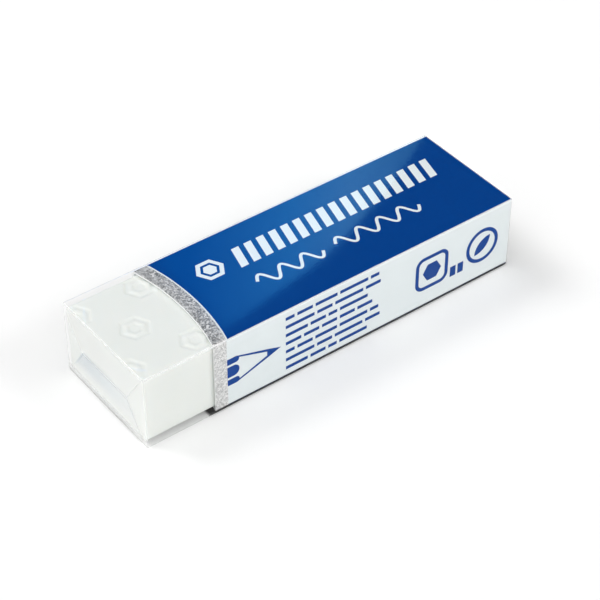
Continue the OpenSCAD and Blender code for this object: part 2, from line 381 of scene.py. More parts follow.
@dataclass(frozen=True)
class CastFilm(Finish):
    """Cast polypropylene film, clear and glossy: seen mostly by the lines of light on its folds.

    A panel mirrors little when seen squarely and much when seen along its face. The folds, all but the
    long lower ones, are drawn white, as film that tension has whitened and as painted highlight, the
    lines of light on them; whitened film lets light through. The foot of the bare end's wall is drawn
    white as painted light over the shade under the raised block. A tint of the clear film is painted
    shade: the dark under the sleeve, the grey under the bare block and the bluish grey on the lower end
    flap. Places along X are distances from the front of the film or of the sleeve.
    """

    roughness: float = 0.04
    mirror: float = 0.022
    mirror_rise: float = 5.0
    no_mirror: Span = (-0.5, -0.1)
    white_and_painted_light: float = 0.65
    haze_through: float = 0.5
    fold_flatness: Span = (0.93, 0.74)
    fold_upness: Span = (-0.45, -0.15)
    end_skin: float = 0.25 * MM
    end_light_height: Span = (1.5 * MM, 0.8 * MM)
    low_height: float = 0.24 * MM
    strip_start: Span = (0.5 * MM, 1.1 * MM)
    strip_painted_shade: float = 0.03
    sleeve_start: Span = (-1.2 * MM, -0.7 * MM)
    sleeve_painted_shade: float = 0.5
    flap_skin: float = 0.18 * MM
    flap_top: float = 6.25 * MM
    flap_shade_rise: Span = (1.9 * MM, 4.5 * MM)
    flap_shade_across: Span = (-7 * MM, 3 * MM)
    flap_shade_near: float = 0.3

    def folds(self, tree: Tree, normal: Socket) -> Socket:
        """Adds the white of the folds, whitened film and painted highlight: none on a panel, and full on a
        fold that isn't a long lower one.

        Args:
            tree: The material's nodes.
            normal: The outward direction.

        Returns:
            How much of the film is white.
        """
        facing = add_node(tree, "VectorMath", {0: normal}, operation="ABSOLUTE")[0]
        parts = add_node(tree, "SeparateXYZ", {0: facing})
        wide = add_node(tree, "Math", {0: parts["X"], 1: parts["Y"]}, operation="MAXIMUM")[0]
        widest = add_node(tree, "Math", {0: wide, 1: parts["Z"]}, operation="MAXIMUM")[0]
        flat, bent = self.fold_flatness
        bend = {"Value": widest, "From Min": flat, "From Max": bent, "To Max": self.white_and_painted_light}
        height = add_node(tree, "SeparateXYZ", {0: normal})["Z"]
        raised = add_node(tree, "Math", {0: height, 1: parts["X"]}, operation="ADD")[0]
        # Painted highlight: only folds that face up are drawn white; the long lower ones face the floor.
        low, high = self.fold_upness
        upper = {"Value": raised, "From Min": low, "From Max": high}
        both = {0: add_node(tree, "MapRange", bend)[0], 1: add_node(tree, "MapRange", upper)[0]}
        return add_node(tree, "Math", both, operation="MULTIPLY")[0]

    def rim(self, tree: Tree, spot: Sockets) -> Socket:
        """Adds painted light: the foot of the bare end's wall, drawn white over the shade under the block.

        Args:
            tree: The material's nodes.
            spot: The three parts of the position.

        Returns:
            How much of the film is white.
        """
        face = Box.of("film_wrap").low.x + self.end_skin
        end = add_node(tree, "Math", {0: spot["X"], 1: face}, operation="LESS_THAN")[0]
        # Painted light: clear above the first height, full white below the second.
        clear, white = self.end_light_height
        rise = {"Value": spot["Z"], "From Min": clear, "From Max": white, "To Max": self.white_and_painted_light}
        low = add_node(tree, "MapRange", rise)[0]
        return add_node(tree, "Math", {0: end, 1: low}, operation="MULTIPLY")[0]

    def painted_floor_shade(self, tree: Tree, spot: Sockets) -> Socket:
        """Adds painted shade on the film by the floor: a little under the bare block, much under the
        sleeve.

        Args:
            tree: The material's nodes.
            spot: The three parts of the position.

        Returns:
            The share of the dark tone.
        """
        steps = (
            (Box.of("film_wrap").low.x, self.strip_start, self.strip_painted_shade),
            (Box.of("card_sleeve").low.x, self.sleeve_start, self.sleeve_painted_shade),
        )
        shades = {}
        for i, (front, (start, full), most) in enumerate(steps):
            way = {"Value": spot["X"], "From Min": front + start, "From Max": front + full, "To Max": most}
            shades[i] = add_node(tree, "MapRange", way)[0]
        deepest = add_node(tree, "Math", shades, operation="MAXIMUM")[0]
        # Painted shade: all film below this height is tinted, the underside as well as the lower folds.
        low = add_node(tree, "Math", {0: spot["Z"], 1: self.low_height}, operation="LESS_THAN")[0]
        return add_node(tree, "Math", {0: deepest, 1: low}, operation="MULTIPLY")[0]

    def painted_flap_shade(self, tree: Tree, spot: Sockets) -> Socket:
        """Adds painted shade, bluish grey, on the bare end's lower flap, deepest high up and at the far
        side.

        Args:
            tree: The material's nodes.
            spot: The three parts of the position.

        Returns:
            The share of the bluish tone.
        """
        face = Box.of("film_wrap").low.x + self.flap_skin
        low, high = self.flap_shade_rise
        near, far = self.flap_shade_across
        rise = {"Value": spot["Z"], "From Min": low, "From Max": high}
        across = {"Value": spot["Y"], "From Min": near, "From Max": far, "To Min": self.flap_shade_near}
        share = add_node(tree, "MapRange", rise, interpolation_type="SMOOTHSTEP")[0]
        masks = (
            add_node(tree, "Math", {0: spot["X"], 1: face}, operation="LESS_THAN")[0],
            add_node(tree, "Math", {0: spot["Z"], 1: self.flap_top}, operation="LESS_THAN")[0],
            add_node(tree, "MapRange", across, interpolation_type="SMOOTHSTEP")[0],
        )
        for mask in masks:
            share = add_node(tree, "Math", {0: share, 1: mask}, operation="MULTIPLY")[0]
        return share

    def sheet(self, tree: Tree, place: Socket, normal: Socket) -> Socket:
        """Adds the film without its mirror: clear with a tint of painted shade, and white on the folds and
        at the foot of the bare end.

        The eye and mirrors see that white, part whitened film and part painted light, and what lies near it
        isn't shaded by it.

        Args:
            tree: The material's nodes.
            place: Position on the object in metres.
            normal: The outward direction.

        Returns:
            The sheet's shader.
        """
        white = {"Color": hex_to_linear(Tone.WHITE)}
        spot = add_node(tree, "SeparateXYZ", {0: place})
        # Painted shade: the lower end flap is tinted bluish grey.
        cast = {0: self.painted_flap_shade(tree, spot), MIX_A: hex_to_linear(Tone.WHITE),
                MIX_B: hex_to_linear(Tone.FLAP_SHADE)}
        pale = add_node(tree, "Mix", cast, data_type="RGBA")[MIX_OUT]
        # Painted shade: the clear film is tinted dark by the floor.
        dark = {0: self.painted_floor_shade(tree, spot), MIX_A: pale, MIX_B: hex_to_linear(Tone.FILM_SHADE)}
        tint = add_node(tree, "Mix", dark, data_type="RGBA")[MIX_OUT]
        clear = add_node(tree, "BsdfTransparent", {"Color": tint})[0]
        lit = add_node(tree, "BsdfDiffuse", white)[0]
        through = add_node(tree, "BsdfTranslucent", white)[0]
        whitening_and_painted_light = add_node(tree, "MixShader", {0: self.haze_through, 1: lit, 2: through})[0]
        hazes = {0: self.folds(tree, normal), 1: self.rim(tree, spot)}
        white_and_painted_light = add_node(tree, "Math", hazes, operation="MAXIMUM")[0]
        seen = self.seen(tree, add_node(tree, "LightPath"))
        share = add_node(tree, "Math", {0: white_and_painted_light, 1: seen}, operation="MULTIPLY")[0]
        return add_node(tree, "MixShader", {0: share, 1: clear, 2: whitening_and_painted_light})[0]

    def mirroring(self, tree: Tree, normal: Socket) -> Socket:
        """Adds how much the film mirrors, which is nothing where it faces the floor.

        Args:
            tree: The material's nodes.
            normal: The outward direction.

        Returns:
            The mirror's share.
        """
        edge = add_node(tree, "LayerWeight")["Facing"]
        rise = add_node(tree, "Math", {0: edge, 1: self.mirror_rise}, operation="POWER")[0]
        span = {0: rise, 1: 1 - self.mirror, 2: self.mirror}
        share = add_node(tree, "Math", span, operation="MULTIPLY_ADD")[0]
        down, level = self.no_mirror
        height = add_node(tree, "SeparateXYZ", {0: normal})["Z"]
        open_air = {"Value": height, "From Min": down, "From Max": level}
        both = {0: share, 1: add_node(tree, "MapRange", open_air)[0]}
        return add_node(tree, "Math", both, operation="MULTIPLY")[0]

    def surface(self, tree: Tree, place: Socket) -> Socket:
        """Adds the clear sheet with its mirror.

        Args:
            tree: The material's nodes.
            place: Position on the object in metres.

        Returns:
            The film's shader.
        """
        normal = add_node(tree, "TexCoord")["Normal"]
        shine = {"Color": hex_to_linear(Tone.WHITE), "Roughness": self.roughness}
        gloss = add_node(tree, "BsdfAnisotropic", shine)[0]
        parts = {0: self.mirroring(tree, normal), 1: self.sheet(tree, place, normal), 2: gloss}
        return add_node(tree, "MixShader", parts)[0]


def weld(mesh: Mesh) -> None:
    """Joins places that fall together, drops faces without area and turns the rest outward.

    Args:
        mesh: The mesh to mend.
    """
    bmesh.ops.remove_doubles(mesh, verts=mesh.verts, dist=WELD)
    bmesh.ops.dissolve_degenerate(mesh, edges=mesh.edges, dist=WELD)
    bmesh.ops.recalc_face_normals(mesh, faces=mesh.faces)


def finish_piece(name: str, mesh: Mesh, finish: Finish, node: str) -> bpy.types.Object:
    """Turns a mesh into a piece of the pack that stands for a node of the frame.

    Args:
        name: Name of the piece.
        mesh: Its faces, which are used up.
        finish: Its finish.
        node: The node that it stands for.

    Returns:
        The new object.
    """
    data = bpy.data.meshes.new(name)
    mesh.to_mesh(data)
    mesh.free()
    piece = bpy.data.objects.new(name, data)
    bpy.context.scene.collection.objects.link(piece)
    for polygon in data.polygons:
        polygon.use_smooth = True
    data.materials.append(finish.material())
    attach(piece, BODY)
    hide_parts(node)
    LOG.info("%s: %d faces, stands for %s", name, len(data.polygons), node)
    return piece


def section(half_w: float, half_h: float, radius: float, counts: Counts) -> list[Point]:
    """Lays points round a rectangle with round corners, centred on the origin.

    Args:
        half_w: Half its width.
        half_h: Half its height.
        radius: Radius of its corners.
        counts: Steps along each wide side, each short side and each corner.

    Returns:
        The points in order, starting on the right side's lower end.
    """
    wide, short, arc = counts
    flat_w, flat_h = half_w - radius, half_h - radius
    sides = (
        ((half_w, -flat_h), (half_w, flat_h), short, (flat_w, flat_h), 0),
        ((flat_w, half_h), (-flat_w, half_h), wide, (-flat_w, flat_h), 90),
        ((-half_w, flat_h), (-half_w, -flat_h), short, (-flat_w, -flat_h), 180),
        ((-flat_w, -half_h), (flat_w, -half_h), wide, (flat_w, -flat_h), 270),
    )
    points: list[Point] = []
    for start, end, steps, centre, angle in sides:
        for i in range(steps):
            t = i / steps
            points.append((start[0] + (end[0] - start[0]) * t, start[1] + (end[1] - start[1]) * t))
        for i in range(arc):
            turn = math.radians(angle + 90 * i / arc)
            points.append((centre[0] + radius * math.cos(turn), centre[1] + radius * math.sin(turn)))
    return points


def rounding(radius: float, steps: int) -> list[Point]:
    """Lays a round edge, as distances from the end face and how far the section draws in there."""
    turns = (math.radians(90 * k / steps) for k in range(steps + 1))
    return [(radius * (1 - math.cos(turn)), radius * (1 - math.sin(turn))) for turn in turns]


def cap_rings(ring: list[Vector], core: float, steps: int) -> list[list[Vector]]:
    """Draws a ring in to the middle line of its end face.

    Args:
        ring: The outer ring, all at one X.
        core: Half the length of the middle line, along Y.
        steps: How many rings to make.

    Returns:
        The rings inside the given one, the last one flat on the middle line.
    """
    mid_z = (max(p.z for p in ring) + min(p.z for p in ring)) / 2
    rings = []
    for k in range(1, steps + 1):
        t = k / steps
        rings.append([p.lerp(Vector((p.x, min(core, max(-core, p.y)), mid_z)), t) for p in ring])
    return rings


def close_rings(rings: list[list[Vector]], core: float, cap_steps: int) -> Mesh:
    """Joins closed rings of equal length to one skin, with a flat cap at each end.

    Args:
        rings: The rings in order, each a list of places.
        core: Half the length of each cap's middle line.
        cap_steps: How many rings each cap is made of.

    Returns:
        The closed skin.
    """
    front, back = (cap_rings(ring, core, cap_steps) for ring in (rings[0], rings[-1]))
    mesh = bmesh.new()
    made = [[mesh.verts.new(place) for place in ring] for ring in front[::-1] + rings + back]
    count = len(rings[0])
    for low, high in zip(made, made[1:]):
        for i in range(count):
            j = (i + 1) % count
            mesh.faces.new((low[i], low[j], high[j], high[i]))
    weld(mesh)
    return mesh


def sheet_of(rows: list[list[Vector]], outward: Vector) -> Mesh:
    """Joins rows of equal length to an open sheet whose faces all look one way.

    Args:
        rows: The rows in order, each a list of places.
        outward: A direction on the side that the faces look to.

    Returns:
        The open sheet.
    """
    mesh = bmesh.new()
    made = [[mesh.verts.new(place) for place in row] for row in rows]
    for low, high in zip(made, made[1:]):
        for i in range(len(low) - 1):
            mesh.faces.new((low[i], low[i + 1], high[i + 1], high[i]))
    for face in mesh.faces:
        face.normal_update()
        if face.normal.dot(outward) < 0:
            face.normal_flip()
    return mesh


@dataclass(frozen=True)
class PressedPattern:
    """The pattern of six-sided figures that the mould presses into the block's upper face."""

    depth: float = 0.12 * MM
    radius: float = 2.4 * MM
    ring: float = 0.7 * MM
    pad: float = 1.0 * MM
    pitch: float = 10.4 * MM
    row_y: float = 6.8 * MM
    soft: float = 0.24 * MM

    @staticmethod
    def hexagon(x: float, y: float, radius: float) -> float:
        """Measures from the outline of a six-sided figure with a corner on X.

        Args:
            x: Place along X from its centre.
            y: Place along Y from its centre.
            radius: Distance of its corners from its centre.

        Returns:
            The distance outside it, negative inside.
        """
        reach = radius * math.cos(math.radians(30))
        across = (abs(x * math.cos(a) + y * math.sin(a)) for a in map(math.radians, (30, 90, 150)))
        return max(across) - reach

    def figure(self, x: float, y: float) -> float:
        """Gives how much of its depth one figure, a ring round a pad, has at a place.

        Args:
            x: Place along X from its centre.
            y: Place along Y from its centre.

        Returns:
            The share of the depth, from 0 to 1.
        """
        band = max(self.hexagon(x, y, self.radius), -self.hexagon(x, y, self.radius - self.ring))
        pad = self.hexagon(x, y, self.pad)
        return smooth(self.soft, -self.soft, 2 * min(band, pad))

    def dip(self, x: float, y: float) -> float:
        """Gives how deep the pattern lies at a place.

        Args:
            x: Distance from the block's front face.
            y: Distance from its middle line.

        Returns:
            The depth below the upper face.
        """
        step = self.pitch / 2
        column = round(x / step)
        deepest = 0.0
        for i in (column - 1, column, column + 1):
            for row in ((-self.row_y, self.row_y) if i % 2 == 0 else (0.0,)):
                dx, dy = x - i * step, y - row
                if math.hypot(dx, dy) <= self.radius + self.soft:
                    deepest = max(deepest, self.figure(dx, dy))
        return self.depth * deepest


@dataclass
class EraserBlock:
    """The white block: a cut length of moulded vinyl with soft edges and a pressed pattern on top.

    Its cells are small where it is bare, to carry the pattern, and long where the sleeve hides it.
    """

    finish: Finish
    edge: float = 0.4 * MM
    cut_edge: float = 0.12 * MM
    cell: float = 0.16 * MM
    hidden_cell: float = 0.45 * MM
    bare: float = 13.5 * MM
    sag: float = 0.02 * MM
    sag_cloud: float = 7 * MM
    side_steps: int = 24
    edge_steps: int = 6
    cut_steps: int = 4
    cap_steps: int = 8
    pattern: PressedPattern = field(default_factory=PressedPattern)

    def stations(self, length: float) -> list[Point]:
        """Lays the places of the block's cross sections, close together only where the block is bare.

        Args:
            length: Length of the block.

        Returns:
            Each place from the front face, with how far the section draws in there.
        """
        corner = rounding(self.cut_edge, self.cut_steps)
        fine = int(self.bare / self.cell)
        coarse = int((length - self.bare) / self.hidden_cell)
        inner = [(self.cut_edge + self.cell * (i + 1), 0.0) for i in range(fine)]
        start, stop = inner[-1][0], length - self.cut_edge
        inner += [(start + (stop - start) * (i + 1) / coarse, 0.0) for i in range(coarse - 1)]
        return corner + inner + [(length - x, inset) for x, inset in reversed(corner)]

    def build(self) -> bpy.types.Object:
        """Builds the block.

        Returns:
            The finished piece.
        """
        box = Box.of("eraser_block")
        half_w, half_h = box.size.y / 2, box.size.z / 2
        counts = (round(box.size.y / self.cell), self.side_steps, self.edge_steps)
        rings = []
        for x, inset in self.stations(box.size.x):
            ring = []
            for y, z in section(half_w - inset, half_h - inset, self.edge, counts):
                place = Vector((box.low.x + x, box.middle.y + y, box.middle.z + z))
                if z > half_h - inset - WELD:
                    place.z -= self.pattern.dip(x, y)
                slump = 0.5 + 0.5 * noise.noise(place / self.sag_cloud)
                place.z -= self.sag * slump * smooth(0, half_h, z)
                ring.append(place)
            rings.append(ring)
        mesh = close_rings(rings, half_w - half_h, self.cap_steps)
        return finish_piece("soft_vinyl_block", mesh, self.finish, "eraser_block")


@dataclass(frozen=True)
class Crease:
    """A straight ridge or dent that tension draws in a panel of the film.

    A crease is written in millimetres along the panel's two axes, from the low side of the film's box,
    or from the high side where a place is negative. A negative height is a dent. Its ends fade over
    shares of its length.
    """

    panel: Panel
    start: Point
    end: Point
    width: float
    height: float
    fade_in: Span = (-0.1, 0.15)
    fade_out: Span = (1.1, 0.6)

    def placed(self, box: Box) -> "Crease":
        """Gives the crease with all its sizes in metres in the frame.

        Args:
            box: The film's box.

        Returns:
            The same crease in metres.
        """
        axes = self.panel.value[2:]
        ends = []
        for spot in (self.start, self.end):
            corners = (box.low if value > 0 else box.high for value in spot)
            ends.append(tuple(value * MM + side[axis] for value, side, axis in zip(spot, corners, axes)))
        return replace(self, start=ends[0], end=ends[1], width=self.width * MM, height=self.height * MM)

    def lift(self, u: float, v: float) -> float:
        """Gives the height of the crease at a place of its panel.

        Args:
            u: Place along the panel's first axis.
            v: Place along its second axis.

        Returns:
            How far the film stands out there, negative where it is drawn in.
        """
        du, dv = self.end[0] - self.start[0], self.end[1] - self.start[1]
        length = math.hypot(du, dv)
        share = ((u - self.start[0]) * du + (v - self.start[1]) * dv) / length ** 2
        across = ((u - self.start[0]) * dv - (v - self.start[1]) * du) / length
        fade = smooth(*self.fade_in, share) * smooth(*self.fade_out, share)
        return self.height * fade * math.exp(-((across / self.width) ** 2))


@dataclass
class FilmWrap:
    """The clear film: a lapped tube round the sleeve, folded shut like an envelope at both ends.

    Each end has a lower flap and an upper one over it. A bead of gathered film stands along a flap's
    slanting sides and a lower hem along its free edge, and the flap curls a little between them.
    """

    finish: Finish
    thickness: float = 0.035 * MM
    edge: float = 0.36 * MM
    end_edge: float = 0.22 * MM
    sharpest_edge: float = 0.08 * MM
    wall_inset: float = 0.2 * MM
    slack: float = 0.02 * MM
    ripple: float = 0.004 * MM
    ripple_length: float = 9 * MM
    ripple_facing: Span = (0.9, 0.995)
    panel_facing: Span = (0.6, 0.98)
    span_sag: float = 0.1 * MM
    lap: float = 7 * MM
    flap_depth: float = 6.2 * MM
    flap_taper: float = 0.66
    flap_inset: float = 0.432 * MM
    flap_rise: float = 0.05 * MM
    flap_rise_length: float = 0.8 * MM
    flap_sink: float = 0.01 * MM
    curl: float = 0.02 * MM
    curl_length: float = 2.5 * MM
    bead: float = 0.09 * MM
    hem: float = 0.045 * MM
    bead_width: float = 0.16 * MM
    bead_start: float = 1.2 * MM
    bare_cell: float = 0.2 * MM
    long_cell: float = 0.8 * MM
    bare_overlap: float = 1.5 * MM
    counts: Counts = (58, 36, 6)
    end_steps: int = 5
    cap_steps: int = 18
    flap_steps: tuple[int, int] = (30, 64)
    lap_steps: tuple[int, int] = (90, 12)
    creases: tuple[Crease, ...] = (
        Crease(Panel.TOP, (0.3, -1.0), (8.0, -1.5), 0.22, -0.05),
        Crease(Panel.TOP, (0.3, -1.8), (5.0, -0.5), 0.2, -0.06),
        Crease(Panel.TOP, (0.3, -6.0), (3.4, -1.6), 0.22, -0.07),
        Crease(Panel.TOP, (0.2, 3.8), (2.6, 1.1), 0.22, -0.06),
        Crease(Panel.TOP, (0.4, 1.2), (6.5, 0.7), 0.2, -0.04),
        Crease(Panel.NEAR, (0.4, -1.0), (2.2, -6.0), 0.25, -0.05),
        Crease(Panel.NEAR, (0.4, 1.2), (7.0, 0.8), 0.22, -0.04),
        Crease(Panel.FRONT, (-1.0, -2.5), (-1.3, -9.5), 0.2, -0.06),
        Crease(Panel.FRONT, (-2.0, -3.2), (-2.2, -8.5), 0.18, -0.06),
        Crease(Panel.FRONT, (1.4, -3.5), (1.2, -10.5), 0.2, -0.05),
    )

    def __post_init__(self) -> None:
        """Takes the film's places from the frame."""
        self.box = Box.of("film_wrap")
        self.bare_end = Box.of("card_sleeve").low.x
        self.wall = self.box.high.x - self.wall_inset
        self.fold_arc = self.end_edge * math.pi / 4
        self.placed = [crease.placed(self.box) for crease in self.creases]

    def bow(self, place: Vector, axis: int) -> float:
        """Gives how far a panel sags between the sleeve and the end, where nothing holds it up.

        Args:
            place: A place on the panel.
            axis: The axis across the panel.

        Returns:
            The share of the full sag, from 0 to 1.
        """
        if axis == 0 or place.x >= self.bare_end:
            return 0.0
        span = (place.x - self.box.low.x) / (self.bare_end - self.box.low.x)
        other = 1 if axis == 2 else 2
        across = (place[other] - self.box.low[other]) / self.box.size[other]
        return math.sin(math.pi * span) * math.sin(math.pi * min(1.0, max(0.0, across)))

    def offset(self, place: Vector, normal: Vector) -> float:
        """Gives how far the film lies from its flat form.

        Args:
            place: A place on the flat form.
            normal: The outward direction there.

        Returns:
            The distance outward, negative where the film is drawn in.
        """
        flatness = smooth(*self.ripple_facing, max(abs(part) for part in normal))
        total = flatness * self.ripple * noise.noise(place / self.ripple_length) - self.slack
        for panel in Panel:
            axis, sign, first, second = panel.value
            weight = smooth(*self.panel_facing, normal[axis] * sign)
            if weight == 0:
                continue
            for crease in self.placed:
                if crease.panel is panel:
                    total += weight * crease.lift(place[first], place[second])
            total -= weight * self.span_sag * self.bow(place, axis)
        return total

    def settle(self, mesh: Mesh) -> None:
        """Moves each place of a flat form by its offset and keeps it inside the film's box.

        Args:
            mesh: The film as flat panels.
        """
        mesh.normal_update()
        moves = [vert.normal * self.offset(vert.co, vert.normal) for vert in mesh.verts]
        for vert, move in zip(mesh.verts, moves):
            vert.co = self.box.hold(vert.co + move)

    def stations(self) -> list[Point]:
        """Lays the places of the tube's cross sections, close together only at the bare end.

        Returns:
            Each place along X, with how far the section draws in there.
        """
        corner = rounding(self.end_edge, self.end_steps)
        start, stop = self.end_edge - self.wall, self.wall - self.end_edge
        bare = self.bare_end + self.bare_overlap
        fine = round((bare - start) / self.bare_cell)
        coarse = round((stop - bare) / self.long_cell)
        front = [(x - self.wall, inset) for x, inset in corner]
        middle = [(start + (bare - start) * (i + 1) / fine, 0.0) for i in range(fine)]
        middle += [(bare + (stop - bare) * (i + 1) / coarse, 0.0) for i in range(coarse - 1)]
        return front + middle + [(self.wall - x, inset) for x, inset in reversed(corner)]

    def tube(self) -> Mesh:
        """Builds the tube with its two end walls.

        Returns:
            The tube as one closed skin.
        """
        half_w, half_h = self.box.size.y / 2, self.box.size.z / 2
        rings = []
        for x, inset in self.stations():
            radius = max(self.edge - inset, self.sharpest_edge)
            outline = section(half_w - inset, half_h - inset, radius, self.counts)
            rings.append([Vector((x, self.box.middle.y + y, self.box.middle.z + z)) for y, z in outline])
        return close_rings(rings, half_w - half_h, self.cap_steps)

    def flap_stand(self, y: float, half: float, along: float, layer: int) -> float:
        """Gives how far an end flap stands off the end wall.

        Args:
            y: Place across the flap, from its middle.
            half: Half its width there.
            along: Distance along the flap from its fold.
            layer: 1 for the lower flap, 2 for the upper one.

        Returns:
            The distance outward, most along the flap's free edges.
        """
        depth = max(0.0, along - self.fold_arc)
        side, free = half - abs(y), self.flap_depth - depth
        bead = self.bead * math.exp(-((side - self.bead_width) / self.bead_width) ** 2)
        hem = self.hem * math.exp(-((free - self.bead_width) / self.bead_width) ** 2)
        curl = self.curl * noise.noise(Vector((y, depth, layer * MM)) / self.curl_length)
        rise = layer * self.flap_rise * smooth(0, self.flap_rise_length, along) - self.flap_sink
        return rise + (max(bead, hem) + curl) * smooth(0, self.bead_start, along)

    def flap(self, end: End, upper: bool) -> Mesh:
        """Builds one end flap, which comes round the end's edge and lies on the end wall.

        Args:
            end: The end of the pack.
            upper: True for the upper flap, which lies over the lower one.

        Returns:
            The flap as one open sheet.
        """
        rows, columns = self.flap_steps
        half_w, half_h = self.box.size.y / 2, self.box.size.z / 2
        fold = self.end_edge
        grid = []
        for row in range(rows + 1):
            along = (self.fold_arc + self.flap_depth) * row / rows
            depth = max(0.0, along - self.fold_arc)
            turn = math.pi / 4 * (1 + min(1.0, along / self.fold_arc))
            half = half_w - self.flap_inset - self.flap_taper * depth
            line = []
            for column in range(columns + 1):
                y = half * math.sin(math.pi / 2 * (2 * column / columns - 1))
                out = self.flap_stand(y, half, along, 2 if upper else 1)
                if depth > 0:
                    x, z = self.wall + out, half_h - fold - depth
                else:
                    x = self.wall - fold + (fold + out) * math.sin(turn)
                    z = half_h - fold + (fold + out) * math.cos(turn)
                z = z if upper else -z
                line.append(Vector((end.value * x, y, self.box.middle.z + z)))
            grid.append(line)
        return sheet_of(grid, Vector((end.value, 0, 0)))

    def lap_sheet(self) -> Mesh:
        """Builds the lap: the sheet's second edge, which runs inside the underside from end to end.

        Returns:
            The lap as one open sheet.
        """
        steps_along, steps_across = self.lap_steps
        length = self.box.size.x - 2 * self.wall_inset
        level = self.box.low.z + 2 * self.thickness + self.slack
        grid = []
        for i in range(steps_along + 1):
            line = []
            for j in range(steps_across + 1):
                x = self.box.middle.x + length * (i / steps_along - 0.5)
                y = self.box.middle.y + self.lap * (j / steps_across - 0.5)
                wave = self.ripple * noise.noise(Vector((x, y, 0.0)) / self.ripple_length)
                line.append(Vector((x, y, level + wave)))
            grid.append(line)
        return sheet_of(grid, Vector((0, 0, -1)))

    def thicken(self, mesh: Mesh, joined: Mesh) -> None:
        """Gives a sheet its thickness inward and adds it to the joined film.

        Args:
            mesh: The sheet, with its faces outward. It is used up.
            joined: The mesh that collects the film.
        """
        mesh.normal_update()
        inner = {vert: joined.verts.new(vert.co - vert.normal * self.thickness) for vert in mesh.verts}
        outer = {vert: joined.verts.new(vert.co) for vert in mesh.verts}
        for face in mesh.faces:
            joined.faces.new([outer[vert] for vert in face.verts])
            joined.faces.new([inner[vert] for vert in reversed(face.verts)])
        for edge in mesh.edges:
            if edge.is_boundary:
                loop = edge.link_loops[0]
                a, b = loop.vert, loop.link_loop_next.vert
                joined.faces.new((outer[b], outer[a], inner[a], inner[b]))
        mesh.free()

    def build(self) -> bpy.types.Object:
        """Builds the film.

        Returns:
            The finished piece.
        """
        tube = self.tube()
        self.settle(tube)
        flaps = [self.flap(end, upper) for end in End for upper in (False, True)]
        joined = bmesh.new()
        for sheet in (tube, self.lap_sheet(), *flaps):
            self.thicken(sheet, joined)
        for vert in joined.verts:
            vert.co = self.box.hold(vert.co)
        return finish_piece("clear_film_wrap", joined, self.finish, "film_wrap")


@dataclass
class PrintedSleeve:
    """The card sleeve and its print, whose solids keep their form and get their finish here."""

    finishes: dict[str, Finish]

    def dress(self) -> None:
        """Gives each node of the sleeve its finish."""
        for node, finish in self.finishes.items():
            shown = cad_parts[node]
            shown.data.materials.clear()
            shown.data.materials.append(finish.material())
            LOG.info("%s: finished as %s", node, finish.name)


@dataclass(frozen=True)
class Softbox:
    """A flat square lamp that faces the pack. Its size is in metres and its power in watts."""

    name: str
    place: Place
    size: float
    power: float
    aim: Place = (0.0, 0.0, 6 * MM)

    def build(self) -> bpy.types.Object:
        """Hangs the lamp.

        Returns:
            The lamp.
        """
        data = bpy.data.lights.new(self.name, "AREA")
        data.shape = "SQUARE"
        data.size = self.size
        data.energy = self.power
        lamp = bpy.data.objects.new(self.name, data)
        lamp.location = self.place
        lamp.rotation_euler = (Vector(self.aim) - Vector(self.place)).to_track_quat("-Z", "Y").to_euler()
        bpy.context.scene.collection.objects.link(lamp)
        return lamp


@dataclass(frozen=True)
class View:
    """The camera at the photograph's angle, fitted to the corners of the pack."""

    azimuth: float = -37.07
    elevation: float = 40.8
    distance: float = 270.65 * MM
    focal_pixels: float = 1911.66
    target: Place = (-1.93 * MM, -3.8 * MM, 6.5 * MM)
    nearest: float = 10 * MM

    def axes(self) -> tuple[Vector, Vector, Vector]:
        """Gives the camera's directions.

        Returns:
            Its right, up and backward directions.
        """
        a, e = math.radians(self.azimuth), math.radians(self.elevation)
        back = Vector((math.sin(a) * math.cos(e), -math.cos(a) * math.cos(e), math.sin(e)))
        right = Vector((math.cos(a), math.sin(a), 0.0))
        return right, back.cross(right), back

    def eye(self) -> Vector:
        """Gives the camera's place."""
        return Vector(self.target) + self.axes()[2] * self.distance

    def mirrored(self, x: float, y: float, reach: float) -> Vector:
        """Gives the place that the pack's upper face mirrors to the camera at a pixel.

        Args:
            x: The pixel's column.
            y: The pixel's row.
            reach: How deep the place lies, from the camera along its view.

        Returns:
            The place.
        """
        right, up, back = self.axes()
        half = IMAGE_SIZE / 2
        ray = right * ((x - half) / self.focal_pixels) + up * ((half - y) / self.focal_pixels) - back
        seen = self.eye() + ray * reach
        seen.z = 2 * Box.of("card_sleeve").high.z - seen.z
        return seen

    def build(self) -> None:
        """Sets the camera."""
        data = bpy.data.cameras.new("camera")
        data.sensor_width = SENSOR
        data.lens = SENSOR * self.focal_pixels / IMAGE_SIZE
        data.clip_start = self.nearest
        made = bpy.data.objects.new("camera", data)
        made.location = self.eye()
        made.rotation_euler = self.axes()[2].to_track_quat("Z", "Y").to_euler()
        bpy.context.scene.collection.objects.link(made)
        bpy.context.scene.camera = made


@dataclass(frozen=True)
class FilmMirror:
    """What the film itself mirrors, as against what is mirrored under it.

    Light that is mirrored under the film crosses four of its faces, two on the way in and two out. The
    film mirrors the room only in part, as under a polarising filter, so that the print stays deep.
    """

    crossings: float = 3.0
    share: float = 0.25

    def own(self, tree: Tree) -> Socket:
        """Adds 1 for a ray that the film itself has mirrored, and else 0."""
        crossed = add_node(tree, "LightPath")["Transparent Depth"]
        return add_node(tree, "Math", {0: crossed, 1: self.crossings}, operation="LESS_THAN")[0]

    def dim(self, tree: Tree, level: Socket, mirrored: Socket) -> Socket:
        """Adds a level that is lower where the film itself mirrors it.

        Args:
            tree: The nodes of something that is mirrored.
            level: The full level.
            mirrored: 1 for the mirrored rays that may be dimmed, and else 0.

        Returns:
            The level.
        """
        own = add_node(tree, "Math", {0: mirrored, 1: self.own(tree)}, operation="MULTIPLY")[0]
        share = add_node(tree, "MapRange", {"Value": own, "To Min": 1.0, "To Max": self.share})[0]
        return add_node(tree, "Math", {0: level, 1: share}, operation="MULTIPLY")[0]


